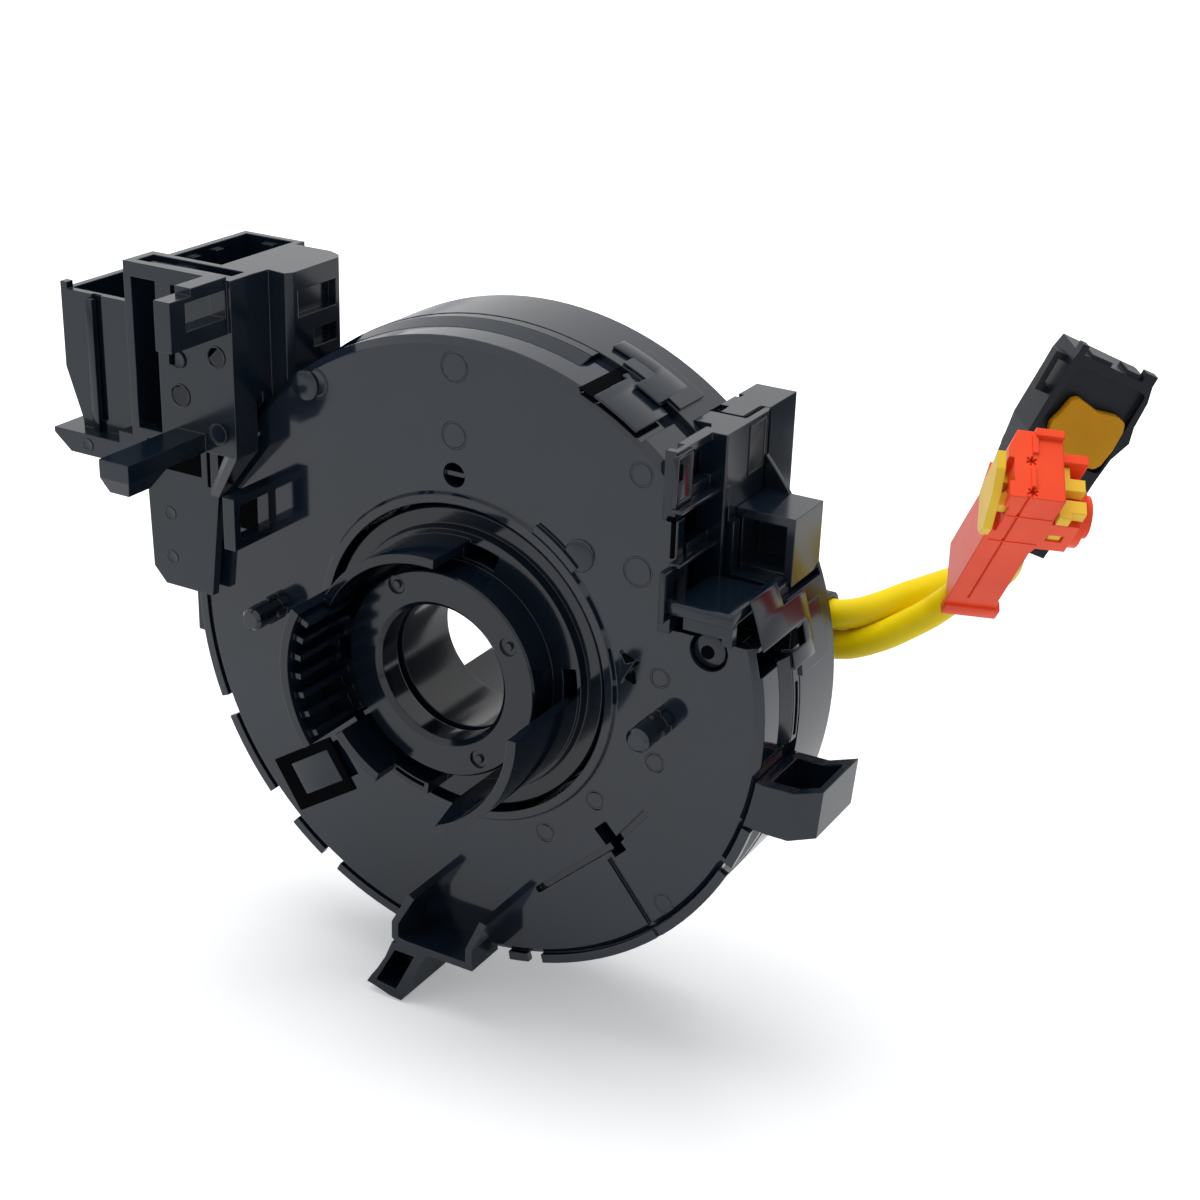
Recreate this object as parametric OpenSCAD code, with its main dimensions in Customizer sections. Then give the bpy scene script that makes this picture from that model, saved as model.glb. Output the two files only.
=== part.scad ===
// Steering clock spring: a flat drum that carries the airbag and switch circuits
// between the fixed steering column and the turning steering wheel.
// The spin axis is Y and Z is up. The face towards the column looks along -Y and
// lies in the plane y = 0. The wheel side looks along +Y.

/* [Drum] */
// Outer radius of the ribbon case
case_r = 54; // [50:0.5:60]
// Step from the case in to the column cover
cover_step = 1; // [0.8:0.1:1.4]
// Depth of the column cover, from its face to the seam
cover_d = 11.5; // [11:0.5:13]
// Depth of the ribbon case
case_d = 13.5; // [13:0.5:16]
// Wall thickness of the drum shells
shell_t = 2; // [1.6:0.1:2.4]
// Thickness of the column face
face_t = 2; // [1.6:0.1:2.6]
// Inner radius of the ribbon's room as a share of the case's radius
room_share = 0.765; // [0.76:0.005:0.77]
// Thickness of the case floor
floor_t = 1.8; // [1.4:0.1:2.2]
// Width of the lip round the face
lip_w = 1.5; // [1:0.1:2]

/* [Hub] */
// Radius of the opening in the column face
opening_r = 26.5; // [26:0.1:27.5]
// Radius of the shaft bore
bore_r = 11.5; // [11:0.1:12]
// Outer radius of the raised boss round the bore
boss_r = 17.5; // [16.5:0.1:18.5]
// Height of the raised boss above the column face
boss_h = 7; // [6:0.5:8]
// Radius of the ribbon hub as a share of the case's radius
hub_share = 0.546; // [0.54:0.002:0.56]
// Wall thickness of the hub tubes
tube_t = 1.7; // [1.4:0.1:2]
// Height of the low cam wall above the column face
low_wall_h = 11.5; // [10:0.5:13]
// Height of the ribbed cam wall above the column face
rib_wall_h = 18.5; // [16:0.5:20]
// Height of the cam fin above the column face
fin_h = 19.5; // [17:0.5:21]
// Thickness of the cam walls
cam_t = 1.5; // [1.2:0.1:1.8]
// Number of ribs on the ribbed cam wall
rib_count = 7; // [5:1:9]

/* [Locating pins] */
// Radius of a locating pin
pin_r = 2; // [1.7:0.1:2.3]
// Length of a locating pin from the column face
pin_len = 6.9; // [6:0.1:8]

/* [Ribbon] */
// Play of the flat ribbon cable between its two glide sheets
ribbon_play = 0.8; // [0.7:0.05:1]
// Thickness of the flat ribbon cable
ribbon_t = 0.3; // [0.2:0.05:0.35]
// Share of the ribbon's room that each coil takes
coil_share = 0.215; // [0.2:0.005:0.22]
// Number of turns on each side
ribbon_turns = 3; // [2:1:3]
// Radius of a guide roller as a share of the ribbon's room
roller_share = 0.2; // [0.18:0.005:0.2]
// Radius of a roller's axle
axle_r = 0.9; // [0.7:0.1:1]

/* [Main socket] */
// Outer width of the main socket
main_w = 12.5; // [12:0.5:14]
// Outer depth of the main socket
main_d = 21.3; // [20:0.5:23]
// Height of the rim of the sockets above the spin axis
tower_top = 57.4; // [56:0.2:60]
// Wall thickness of the sockets
socket_t = 1.3; // [1.1:0.1:1.6]
// Depth of the cavity of the main socket
main_cavity = 21; // [18:1:24]

/* [Side socket] */
// Outer width of the side socket
side_w = 16.7; // [16:0.5:18]
// Outer depth of the side socket
side_d = 20; // [18:0.5:22]
// Height of the rim of the side socket above the spin axis
side_top = 49.5; // [47:0.5:52]
// Depth of the cavity of the side socket
side_cavity = 17; // [14:1:19]

/* [Contact pins] */
// Side of a square contact pin
contact_w = 0.8; // [0.6:0.1:1]
// Length of a contact pin above the socket floor
contact_len = 8; // [6:0.5:10]
// Distance between two contact pins
contact_pitch = 2.6; // [2.4:0.1:2.8]

/* [Switch bracket] */
// Height of the bracket's top above the spin axis
bracket_top = 43.2; // [42:0.2:46]
// Wall thickness of the bracket
bracket_t = 1.8; // [1.5:0.1:2.2]
// Thickness of the ladder panel
ladder_t = 2; // [1.6:0.1:2.4]
// Reach of the ladder panel in front of the face
ladder_reach = 1.5; // [1:0.5:3]
// Reach of the shelf in front of the face
shelf_reach = 3; // [2:0.5:4]

/* [Tray and hook] */
// Reach of the tray and hook in front of the face
tray_reach = 8; // [6:0.5:10]
// Wall thickness of the tray
tray_t = 1.3; // [1.1:0.1:1.6]

/* [Leads] */
// Radius of a sleeved airbag lead
lead_r = 2.5; // [2.2:0.1:2.6]
// Length of the orange airbag connector
orange_len = 33.4; // [32.6:0.2:35]
// Width of the orange connector
orange_w = 8.4; // [8:0.2:9.2]
// Length of the black airbag connector
black_len = 36; // [35:0.5:38]
// Width of the black connector
black_w = 15; // [14:0.5:16]
// Travel of a connector's lock
lock_travel = 1.3; // [1:0.1:1.5]

/* [Fits] */
// Running gap between turning and fixed pieces
run_gap = 0.5; // [0.4:0.1:0.7]
// Clearance of a sliding or snapped piece
slip_gap = 0.3; // [0.2:0.05:0.4]

/* [Hidden] */
$fn = 96;
// A small overlap that keeps cuts and joins clean
eps = 0.01;
// Radius and depth for which the outer pieces are drawn
drawn_r = 54;
drawn_back = 25;
cover_r = case_r - cover_step;
case_back = cover_d + case_d;
floor_top = cover_d + floor_t;
case_in_r = case_r - shell_t;
// The ribbon's room has its own wall inside the case
room_r = case_r * room_share;
room_out_r = room_r + 1.8;
flange_y = case_back - 1.6;
cover_in_r = cover_r - shell_t;
// The cam tube runs through the face and the case floor and meets the rotor's web
tube_r = opening_r - run_gap - 0.25;
web_t = 1.6;
web_y = cover_d - run_gap;
sheet_t = 0.3;
rotor_y = floor_top + sheet_t + slip_gap;
plate_t = 1.8;
plate_y = case_back - plate_t;
plate_r = room_r - run_gap;
ribbon_hub_r = case_r * hub_share;
well_y = -1.2;
sleeve_y = -0.5;
bore_gap = 1.7;
sleeve_r = bore_r + 1.5;
// The ribbon lies between the two glide sheets
ribbon_w = plate_y - sheet_t - rotor_y - ribbon_play;
ribbon_y = rotor_y + ribbon_play * 0.75;
coil_points = 48;
outer_coil_r = room_r - slip_gap;
inner_coil_r = ribbon_hub_r + slip_gap;
ribbon_room = outer_coil_r - inner_coil_r;
coil_depth = ribbon_room * coil_share;
ribbon_pitch = (coil_depth - ribbon_t) / ribbon_turns;
roller_r = ribbon_room * roller_share;
carrier_r = (outer_coil_r + inner_coil_r) / 2;
carrier_half = (outer_coil_r - inner_coil_r) / 2 - coil_depth - run_gap;
carrier_t = 1.2;
carrier_y = rotor_y + 0.1;
axle_top = plate_y - sheet_t - run_gap;
// Sockets
main_x = -57.7;
main_y = -1.3;
side_x = -77.7;
side_y = -4;
side_base = 27;
panel_y = -7;
panel_t = 1.6;
// Pocket in the face for the switch bracket
pocket_x = 36.5;
pocket_z = 14.5;
tongue_x = 37.4;
tongue_z = [24, 32];
ladder_x = 35.5;
right_x = 40;
screw_at = [43.5, 12.5];
seam_y = cover_d + 6.9;
// Depth that a raised pad reaches into the wall that carries it
pad_root = 0.5;
// Wheel side: socket for the switches and outlet for the airbag leads
socket_x = -27;
socket_z = 12;
socket_w = 20;
socket_h = 14;
socket_y = case_back + 15;
outlet_y = 36;
outlet_top = 44;
outlet_x = 41;
outlet_mid = 40;
grommet_len = 5;
// Orange connector: its nose, and the channels of the lock's two prongs
nose_r = 4.9;
nose_at = [5, orange_len - 11.4];
prong_y = [0.7, 4.5];
prong_w = 2.1;
prong_z = orange_len - 5.9;
prong_h = 2.1;
prong_end = 9;
// Seat of the orange lock in the connector's left side
seat_x = 1.2 - orange_w / 2;
// Black connector: height of its nose
black_nose_z = 14;
// Leads: hand-set points from the grommet to the connectors
orange_route = [[41, 40, -0.7], [44, 40, -0.7], [47, 40, -0.7], [50, 40, 0.2], [53.5, 40.6, 2.1],
    [57, 41.4, 5], [60.6, 43.2, 7.2], [63.6, 44.8, 9], [66, 45.4, 11.2], [68.1, 43.9, 14.6],
    [69.1, 42.7, 16.8]];
black_route = [[41, 40, 4.8], [44, 40, 4.8], [47, 40, 4.8], [50, 42.3, 5.7], [53, 45.5, 7.1],
    [57, 49, 8.6], [61, 53, 9.8], [64.6, 58, 10.6], [66.4, 64, 9], [66.2, 70, 6.8], [65, 74.8, 5.2],
    [63.6, 77.8, 6], [63.9, 78.6, 9.2], [64.7, 79, 11.2]];
// A direction that no lead runs along
lead_ref = [1, -1, -1];
lead_sides = 10;
orange_at = [69.66, 40.64, 11.85];
orange_turn = [38.55, 6.21, 31.64];
black_at = [63.87, 74.14, 9.6];
black_turn = [4.58, 22.89, 37.2];

// Extrudes an outline drawn in X and Z from y0 to y1
module plate_xz(y0, y1) {
    translate([0, y1, 0]) rotate([90, 0, 0]) linear_extrude(y1 - y0) children();
}

// Extrudes an outline drawn in X and Y from z0 to z1
module plate_xy(z0, z1) {
    translate([0, 0, z0]) linear_extrude(z1 - z0) children();
}

// Extrudes an outline drawn in Y and Z from x0 to x1
module plate_yz(x0, x1) {
    translate([x0, 0, 0]) rotate([90, 0, 90]) linear_extrude(x1 - x0) children();
}

// A box between two corners
module box(from, to) {
    translate(from) cube(to - from);
}

// Revolves an outline of radius and y about the spin axis
module spun(outline) {
    rotate([-90, 0, 0]) rotate_extrude() polygon(outline);
}

// A cylinder along Y
module rod_y(r, y0, y1, x = 0, z = 0) {
    translate([x, y1, z]) rotate([90, 0, 0]) cylinder(r = r, h = y1 - y0);
}

// A wall round the spin axis, with angles from +X towards +Z
module arc_wall(r0, r1, y0, y1, a0, a1) {
    rotate([90, 0, 0]) rotate([0, 0, a0]) rotate_extrude(angle = a1 - a0)
        translate([r0, -y1]) square([r1 - r0, y1 - y0]);
}

// Turns a piece about the spin axis, from +X towards +Z
module turned(angle) {
    rotate([0, -angle, 0]) children();
}

// Points of a spiral strip and back along its other side
function spiral(r0, step, turns, t, n) = concat(
    [for (i = [0:turns * n]) let(a = 360 * i / n, r = r0 + step * i / n) [r * cos(a), r * sin(a)]],
    [for (i = [turns * n:-1:0]) let(a = 360 * i / n, r = r0 + t + step * i / n)
        [r * cos(a), r * sin(a)]]);

// The connector tower moves out with the drum's rim
module at_tower() {
    translate([drawn_r - case_r, 0, 0]) children();
}

// The switch bracket and the side block move out with the drum's rim
module at_bracket() {
    translate([case_r - drawn_r, 0, 0]) children();
}

// The tray moves down with the drum's rim
module at_tray() {
    translate([0, 0, drawn_r - case_r]) children();
}

// The leads and their connectors move back with the wheel side
module at_wheel() {
    translate([0, case_back - drawn_back, 0]) children();
}

// Column side

module face_marks() {
    // Faint ejector marks
    for (m = [[-2, 48.5, 2.5], [-2, 37.5, 2.3], [-28.5, 41, 2.5], [31, 22.5, 2.5], [31, 38, 2],
        [35.5, 6, 1.7], [35.3, -8.5, 1.7], [25, -18.3, 1.7], [16, -27, 1.7], [38, -33, 1.7]])
        plate_xz(-eps, 0.15) translate([m[0], m[1]]) difference() {
            circle(r = m[2]);
            circle(r = m[2] - 0.35);
        }
}

module face_lip(a0, a1) {
    arc_wall(cover_r - eps, cover_r + lip_w, 0.2, face_t * 0.7, a0, a1);
}

module locating_pin(x, z) {
    tip_h = 0.6;
    // The foot is waisted and carries four crush ribs
    foot_h = 2.2;
    foot_r = pin_r - 0.3;
    rod_y(pin_r, tip_h - pin_len, -foot_h, x, z);
    rod_y(foot_r, -foot_h - eps, face_t, x, z);
    translate([x, tip_h - pin_len, z]) rotate([90, 0, 0]) cylinder(r1 = pin_r, r2 = pin_r - tip_h, h = tip_h);
    for (a = [0:90:270]) translate([x, 0, z]) turned(a)
        box([foot_r - 0.5, -foot_h, -0.4], [pin_r + 0.4, face_t, 0.4]);
}

module loop_clip() {
    // A loop that stands on the face
    clip_reach = 9.8;
    color("#23272b") difference() {
        box([-40.2, -clip_reach, 13.2], [-37.9, 0, 22.2]);
        box([-41, 1.5 - clip_reach, 14.7], [-37, -1, 20.7]);
    }
}

module side_block() {
    block_back = 13;
    color("#23272b") difference() {
        at_bracket() {
            difference() {
                plate_xz(0, block_back)
                    polygon([[50, -6.4], [53.7, -7.1], [59, -7], [63.7, -5.3], [63.1, -13.3], [58.5, -15.2],
                        [54.9, -15.2], [49, -14.6]]);
                plate_xz(shell_t, block_back - shell_t)
                    polygon([[54.4, -4], [62.4, -4], [61.8, -12.2], [58.2, -13.7], [55, -13.7], [54.4, -13]]);
            }
            box([51, block_back - 6, -16.2], [60, block_back, -15]);
        }
        // Clear of the drum
        rod_y(cover_r + slip_gap / 3, -1, cover_d + slip_gap);
        rod_y(case_r + slip_gap / 3, cover_d - eps, case_back);
    }
}

module column_cover() {
    color("#23272b") difference() {
        union() {
            spun([[opening_r, 0], [cover_r - 1.2, 0], [cover_r, 1.2], [cover_r, cover_d],
                [cover_in_r, cover_d], [cover_in_r, face_t], [opening_r + tube_t, face_t],
                [opening_r + tube_t, cover_d - floor_t - 1.6], [opening_r, cover_d - floor_t - 1.6]]);
            spun([[opening_r, -0.8], [opening_r + 1.4, -0.8], [opening_r + 1.8, 0],
                [opening_r + 1.8, face_t], [opening_r, face_t]]);
            arc_wall(opening_r + 1.7, opening_r + 3, -0.8, eps, 45, 63);
            for (s = [[176, 202], [206, 222], [229, 237], [241, 258], [280, 284], [287, 333], [335, 343]])
                face_lip(s[0], s[1]);
            locating_pin(-37.9, -0.2);
            locating_pin(35.5, -1.9);
            // Round the screw hole
            at_bracket() rod_y(5, face_t - eps, 7, screw_at[0], screw_at[1]);
            // Pointer towards the hub's mark
            plate_xz(-0.5, eps) polygon([[29, 3.5], [31.5, 8], [29.8, 7.2], [28.6, 9]]);
            rod_y(2.5, -0.3, eps, 21, 23);
        }
        face_marks();
        // Pocket behind the switch bracket, round the tongue of the face
        at_bracket() {
            difference() {
                box([pocket_x, -1, pocket_z], [60, 10, bracket_top + 0.5]);
                box([pocket_x - 1, -2, tongue_z[0]], [tongue_x, face_t + eps, tongue_z[1]]);
            }
            box([ladder_x - slip_gap, face_t, pocket_z], [60, 10, bracket_top + 0.5]);
            box([right_x, -1, pocket_z], [60, cover_d + 1, bracket_top + 0.5]);
            // Screw hole with its counterbore
            rod_y(3.2, -1, 3.2, screw_at[0], screw_at[1]);
            rod_y(1.2, -1, 8, screw_at[0], screw_at[1]);
        }
        // Gap for the case's latch
        arc_wall(cover_r - 0.6, cover_r + 8, -1, cover_d + 1, 54.5, 68);
        // Slot in the side wall
        turned(13) box([cover_in_r - 1, 0.9, -2], [case_r + 6, cover_d + 1, 2]);
        // Hole with a crossbar
        difference() {
            rod_y(2, -1, face_t + 1, -2, 31);
            box([-5, 0.6, 30.6], [1, face_t, 31.4]);
        }
        // Slanting recess
        translate([-29.6, 0, -29]) rotate([0, -36, 0]) box([-7.8, -1, -3.4], [7.8, face_t - 0.8, 3.4]);
        // Clip slots at the lower right
        for (s = [[15, -38, 28, -26], [28, -26, 34, -18]])
            hull() for (e = [0, 2]) rod_y(0.6, -1, face_t - 0.8, s[e], s[e + 1]);
        plate_xz(-1, face_t + 1) polygon([[25, -23.5], [27, -21.5], [31, -25.5], [29, -27.5]]);
        plate_xz(-1, 0.6) polygon([[27.6, -28.4], [28.4, -27.6], [38.4, -39.6], [37.6, -40.4]]);
    }
}

module hook_tray() {
    floor_z = -52.4;
    back = 1.6;
    color("#23272b") difference() {
        at_tray() {
            // Tray: two side lips and a floor
            plate_xz(-tray_reach, back) polygon([[-5.5, -41.8], [-9, -48.1], [-9, -51.3], [-7.6, floor_z],
                [7.2, floor_z], [7.1, -48.4], [9.9, -42.6], [8.6, -42.3], [7.1 - tray_t, -48.6],
                [7.1 - tray_t, floor_z + tray_t], [-6.2, floor_z + tray_t], [-9 + tray_t, -50.8],
                [-9 + tray_t, -48.3], [-4.4, -42.4]]);
            // Back wall of the tray on the drum's rim
            plate_xz(0, back) polygon([[-7.6, floor_z], [7.2, floor_z], [7.2, -50], [-7.6, -50]]);
            // Hook below the tray
            plate_xz(-tray_reach, 6) difference() {
                polygon([[-9, floor_z + 0.2], [-1.8, floor_z + 0.2], [-7.2, -63.4], [-9.5, -63.2],
                    [-12.2, -62.4], [-14.3, -61.9], [-13.4, -60.4], [-12, -58.4], [-10.4, -55.6]]);
                polygon([[-8.4, -53.6], [-4.4, -53.6], [-8.3, -61.5], [-12.4, -61]]);
            }
            box([-9, 0, -55], [0, 6, -50]);
        }
        rod_y(cover_r + slip_gap / 3, -eps, 7);
    }
}

module switch_bracket() {
    back_y = case_back - slip_gap;
    post_y = 10;
    wall_foot = 20.5 - bracket_t;
    color("#23272b") difference() {
        at_bracket() {
            // Top plate
            plate_xy(bracket_top - bracket_t, bracket_top)
                polygon([[37, post_y], [right_x, post_y], [right_x, back_y], [38.2, back_y],
                    [38.2, seam_y], [32.5, seam_y], [32.5, 13], [35.5, 13]]);
            // Right wall down to the shelf
            box([right_x - bracket_t, post_y, wall_foot], [right_x, back_y, bracket_top]);
            // Ladder panel with its three windows
            box([ladder_x, -ladder_reach, pocket_z], [ladder_x + ladder_t, post_y, bracket_top]);
            // Back posts
            box([ladder_x, post_y - 0.5, pocket_z], [right_x, cover_d - slip_gap / 3, bracket_top]);
            // Shelf with its lip and leg
            plate_xy(wall_foot, 20.5) polygon([[37.5, -shelf_reach], [48, -shelf_reach],
                [48, 9], [49.5, 11], [49.5, 14], [37.5, 14]]);
            box([40.5, -shelf_reach, 16.6], [48, 1.4 - shelf_reach, 20.5]);
            box([47, -shelf_reach, 15.5], [48.6, 1.6 - shelf_reach, 20.5]);
            // Rib in front of the case's side box
            box([right_x - eps, post_y, 20.4], [right_x + 1, 13.6, 29]);
        }
        at_bracket() {
            for (w = [[36.5, 42], [27.5, 34], [18, 24.5]])
                box([ladder_x - 1, 3, w[0]], [ladder_x + ladder_t + 1, 9.5, w[1]]);
            // The ladder's front is open between the posts
            box([ladder_x - 1, -5, 24], [ladder_x + ladder_t + 1, 3, 32.5]);
            // Clear of the face's tongue and of the face itself
            box([30, -eps, tongue_z[0] - slip_gap],
                [tongue_x + slip_gap, face_t + slip_gap, tongue_z[1] + slip_gap]);
            box([30, -eps, pocket_z - 1], [pocket_x + slip_gap / 3, face_t + slip_gap, bracket_top + 1]);
        }
        // Clear of the drum
        rod_y(cover_r + slip_gap / 3, post_y - 0.1, cover_d);
        difference() {
            rod_y(case_r + slip_gap / 3, cover_d - eps, case_back + 1);
            bracket_notch(0);
        }
        rod_y(room_out_r + slip_gap / 3, cover_d - eps, case_back + 1);
        rod_y(cover_in_r, post_y, cover_d + eps);
    }
}

// Notch in the case for the bracket's right wall and shelf
module bracket_notch(gap) {
    notch_x = right_x - bracket_t - gap;
    at_bracket() {
        box([notch_x, cover_d - 1, 20.5 - bracket_t - gap], [60, flange_y, bracket_top + 1]);
        box([notch_x, cover_d - 1, 20.5 - bracket_t - gap], [right_x + gap, case_back + eps, bracket_top + 1]);
    }
}

module drum_case() {
    box_y = case_back + 9.8;
    rib_t = 1.4;
    color("#1f2326") difference() {
        union() {
            difference() {
                union() {
                    // Floor, outer wall and the ribbon room's wall
                    spun([[opening_r, cover_d], [case_r, cover_d], [case_r, case_back - 0.8],
                        [case_r - 0.5, case_back], [case_r - 4, case_back], [case_r - 4, flange_y],
                        [case_in_r, flange_y], [case_in_r, floor_top], [room_out_r, floor_top],
                        [room_out_r, case_back], [room_r, case_back], [room_r, floor_top],
                        [opening_r, floor_top]]);
                    // Ribs between the two walls
                    for (a = [15:30:345]) turned(a)
                        box([room_r + 0.5, floor_top - 0.5, -rib_t / 2],
                            [case_in_r + 0.5, case_back - 3, rib_t / 2]);
                }
                bracket_notch(slip_gap / 3);
            }
            // Side box beside the bracket, open to the front
            difference() {
                at_bracket() difference() {
                    box([right_x + slip_gap / 3, 14, 19.5], [50, case_back - 1, 30.5]);
                    box([right_x + 1.3, 13, 21.5], [48.6, case_back - 4.6, 29]);
                }
                rod_y(room_out_r - 0.5, cover_d, case_back);
            }
            // Raised pad round the side slot
            arc_wall(case_r - pad_root, case_r + 0.3, cover_d + 0.3, 21, 7, 17.4);
            // Rear box behind the switch bracket
            difference() {
                at_bracket() difference() {
                    union() {
                        box([32.5, case_back, 25.5], [39.5, box_y, bracket_top]);
                        box([32.5, seam_y + slip_gap, 30], [38.2 - slip_gap, case_back + eps, bracket_top]);
                    }
                    box([33.8, case_back + 1.4, 20], [38.2, box_y - 1.4, bracket_top - 1.4]);
                    box([30, case_back + 2, 41], [33.4, case_back + 3.4, bracket_top + 1]);
                }
                rod_y(case_r - 0.2, seam_y, flange_y + 0.5);
            }
            // Latch that grips the column cover
            difference() {
                arc_wall(cover_r + slip_gap, case_r - 0.1, 4.5, cover_d + pad_root, 58, 65);
                arc_wall(cover_r, case_r + 1, 6.5, 9, 60, 63);
            }
            arc_wall(case_r - pad_root, case_r + 0.6, cover_d + 0.2, 19.5, 55.5, 67.5);
        }
        // Side slot
        turned(13) box([case_in_r - 2, cover_d - 1, -2], [case_r + 6, cover_d + 4.5, 2]);
        // Recess beside the latch
        arc_wall(case_r - 0.8, case_r + 1, case_back - 6.5, case_back - 3, 47.5, 53);
    }
}

module main_key(z0, z1) {
    box([main_x + socket_t - eps, main_y + 5, z0], [main_x + socket_t + 0.8, main_y + 7, z1]);
    box([main_x + socket_t - eps, main_y + 11, z0], [main_x + socket_t + 0.8, main_y + 13, z1]);
    box([main_x + 5, main_y + main_d - socket_t - 0.8, z0],
        [main_x + 7.5, main_y + main_d - socket_t + eps, z1]);
}

module clip_arm() {
    arm_reach = 20.5;
    difference() {
        box([-43, -arm_reach, 48.8], [-39.9, panel_y + eps, 58]);
        box([-44, 3.5 - arm_reach, 51.5], [-39, -7.5, 56]);
        // Slanting upper edge at the free end
        box([-44, -arm_reach - 1, 56.8], [-39, 5 - arm_reach, 59]);
    }
}

module lever_bar() {
    bar_reach = 25.5;
    box([-51.5, -bar_reach, 28], [-45.6, panel_y + eps, 31]);
    hull() {
        box([-50.5, 1 - bar_reach, 25.4], [-46.6, 6 - bar_reach, 26.4]);
        box([-51.5, -bar_reach, 28], [-45.6, 9 - bar_reach, 28.4]);
    }
}

module connector_housing() {
    main_right = main_x + main_w;
    main_back = main_y + main_d;
    cavity_z = tower_top - main_cavity;
    side_right = side_x + side_w;
    side_cavity_z = side_top - side_cavity;
    color("#23272b") difference() {
        at_tower() {
            // Main socket
            box([main_x, main_y, 28], [main_right, main_back, tower_top]);
            // Front panel with its side walls
            box([-60.5, panel_y, 28], [-39.2, panel_y + panel_t, tower_top]);
            box([-40.8, panel_y, 28], [-39.2, 0, tower_top]);
            box([-61, panel_y, 28], [-59.5, main_y + 1, tower_top]);
            box([-61, main_y, 28], [main_x + eps, main_y + 1.6, tower_top]);
            box([main_right - 2, main_y, 28], [-39.2, main_y + 1.6, tower_top]);
            // Right part that leans on the drum
            plate_xy(30, tower_top) polygon([[-46, -1.3], [-39.2, -1.3], [-38.9, 2.2], [-35.3, 1.7],
                [-34.5, 3], [-34.5, 15], [-35.5, 16.4], [-38, 17.6], [-46, 17.6]]);
            clip_arm();
            lever_bar();
            // Side socket
            plate_xz(side_y, side_y + side_d) polygon([[side_x, 36], [side_x, side_top],
                [side_right, side_top], [side_right, side_base], [side_x + 3.2, side_base]]);
            box([side_x, side_y, side_top - eps], [side_x + 1.4, side_y + 1.6, side_top + 1.2]);
            // Ledge below the side socket
            plate_xz(panel_y, 1) polygon([[-78.5, 25.9], [-78.5, 25], [-75, 22.2], [-58, 22.2],
                [-58, 28], [-64, 28], [-64, 25.9]]);
            plate_xz(side_y, side_y + side_d) polygon([[-74.5, 25.8], [-60, 25.8], [-60, 28], [-74.5, 28]]);
            // Web to the lower plate
            box([-61, -3, 18], [-48.9, -1.2, 29]);
            // Lower plate and its right wall
            plate_xz(-3, -1.2) polygon([[-62, 20], [-61.5, 3], [-59, 0.3], [-48.9, 0.3], [-46.5, 20]]);
            plate_xz(-3, 9) polygon([[-50.6, 0.3], [-48.9, 0.3], [-46.5, 20], [-46.5, 30],
                [-48.2, 30], [-48.2, 20]]);
            // Slanting wall between the panel's right edge and the lower plate's
            hull() {
                box([-40.8, panel_y, 28], [-39.2, 0, 30]);
                box([-48.2, -3, 18.6], [-46.6, 0, 20]);
            }
            // Base that stands on the drum's wall
            box([-58, -1.3, 20], [-44, 17.6, 32]);
            box([-60, 6, -12], [-52, 9.5, 2]);
            box([-57, 6, 0], [-48.9, 9, 22]);
        }
        // Cavity of the main socket, open at the top, with its key ribs left standing
        at_tower() difference() {
            box([main_x + socket_t, main_y + socket_t, cavity_z],
                [main_right - socket_t, main_back - socket_t, tower_top + 1]);
            main_key(cavity_z - 1, tower_top - 1);
        }
        at_tower() {
            // Cavity of the side socket
            plate_xz(side_y + socket_t, side_y + side_d - socket_t) polygon([[side_x + socket_t, 36.4],
                [side_x + socket_t, side_top + 1.3], [side_right - socket_t, side_top + 1.3],
                [side_right - socket_t, side_cavity_z], [side_x + 2.9, side_cavity_z]]);
            // Groove down the front of the side socket
            box([-71, side_y - 1, side_base + 1], [-69, side_y + 0.6, side_top + 1]);
            // Deep corner beside the panel
            box([-59.5, panel_y - 1, 29.5], [-54.5, main_y - 0.2, 55]);
            // Slots in the right wall
            box([-36, 4, 49.8], [-33, 14, 54.2]);
            box([-36, 8, 44], [-33, 14, 47]);
            // Core under the right part
            box([-44, 3.2, 20], [-37, 15.4, 55.6]);
        }
        // Clear of the drum
        rod_y(cover_r + slip_gap / 3, 0, cover_d);
        rod_y(case_r + slip_gap / 3, cover_d - eps, 30);
        rod_y(case_r + slip_gap, -1.4, 0.01);
    }
}

// Contact pins standing in a grid
module contact_grid(columns, rows, height) {
    for (i = [0:columns - 1]) for (j = [0:rows - 1])
        translate([i * contact_pitch, j * contact_pitch, 0]) cube([contact_w, contact_w, height]);
}

module main_socket_pins() {
    columns = 3;
    rows = 6;
    color("#c8a24a") at_tower() translate([main_x + (main_w - (columns - 1) * contact_pitch - contact_w) / 2,
        main_y + (main_d - (rows - 1) * contact_pitch - contact_w) / 2, tower_top - main_cavity])
        contact_grid(columns, rows, contact_len);
}

module side_socket_pins() {
    columns = 4;
    rows = 5;
    color("#c8a24a") at_tower() translate([side_x + (side_w - (columns - 1) * contact_pitch - contact_w) / 2 + 1,
        side_y + (side_d - (rows - 1) * contact_pitch - contact_w) / 2, side_top - side_cavity])
        contact_grid(columns, rows, contact_len);
}

module terminal_plate() {
    color("#3a3d3f") arc_wall(opening_r + 6, cover_in_r - slip_gap * 2, cover_d - 1.8, cover_d, 105, 170);
}

module stator_terminal_block() {
    color("#2d3033") arc_wall(opening_r + 9, cover_in_r - 4, cover_d - 6.5, cover_d - 1.8, 118, 148);
}

// Ribbon room

module case_glide_sheet() {
    color("#d8d4c4") spun([[opening_r + 0.4, floor_top], [room_r - slip_gap, floor_top],
        [room_r - slip_gap, floor_top + sheet_t], [opening_r + 0.4, floor_top + sheet_t]]);
}

module rotor_glide_sheet() {
    color("#d8d4c4") spun([[ribbon_hub_r + 0.2, plate_y - sheet_t], [plate_r, plate_y - sheet_t],
        [plate_r, plate_y], [ribbon_hub_r + 0.2, plate_y]]);
}

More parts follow.
